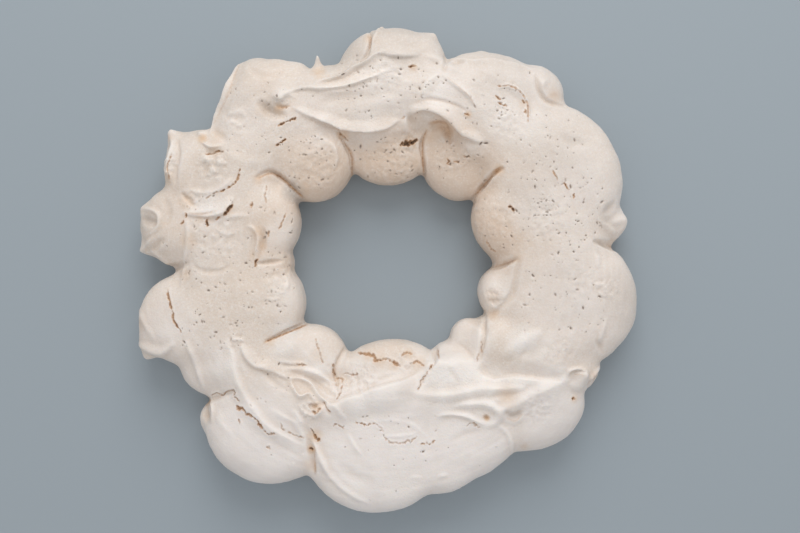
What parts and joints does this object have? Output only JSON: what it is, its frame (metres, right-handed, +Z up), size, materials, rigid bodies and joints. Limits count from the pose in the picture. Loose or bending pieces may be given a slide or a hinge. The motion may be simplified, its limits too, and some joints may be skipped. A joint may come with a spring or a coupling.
{
  "type": "meringue wreath",
  "caption": "Baked meringue wreath of overlapping spoonfuls round an open middle, with a knife-spread, folded top and a flat base to rest on a plate or board",
  "frame": {"origin": "middle of the wreath on the plane that it rests on", "axes": "+Z up out of the base, +X across the wreath's widest side, +Y to the side with the drawn-out folds"},
  "size_m": [0.301, 0.2922, 0.0446],
  "materials": {
    "meringue": "matte, dry baked meringue, cream white with golden brown in its cracks and seams"
  },
  "bodies": {
    "root": {"meringue_ring": "meringue"}
  },
  "joints": []
}
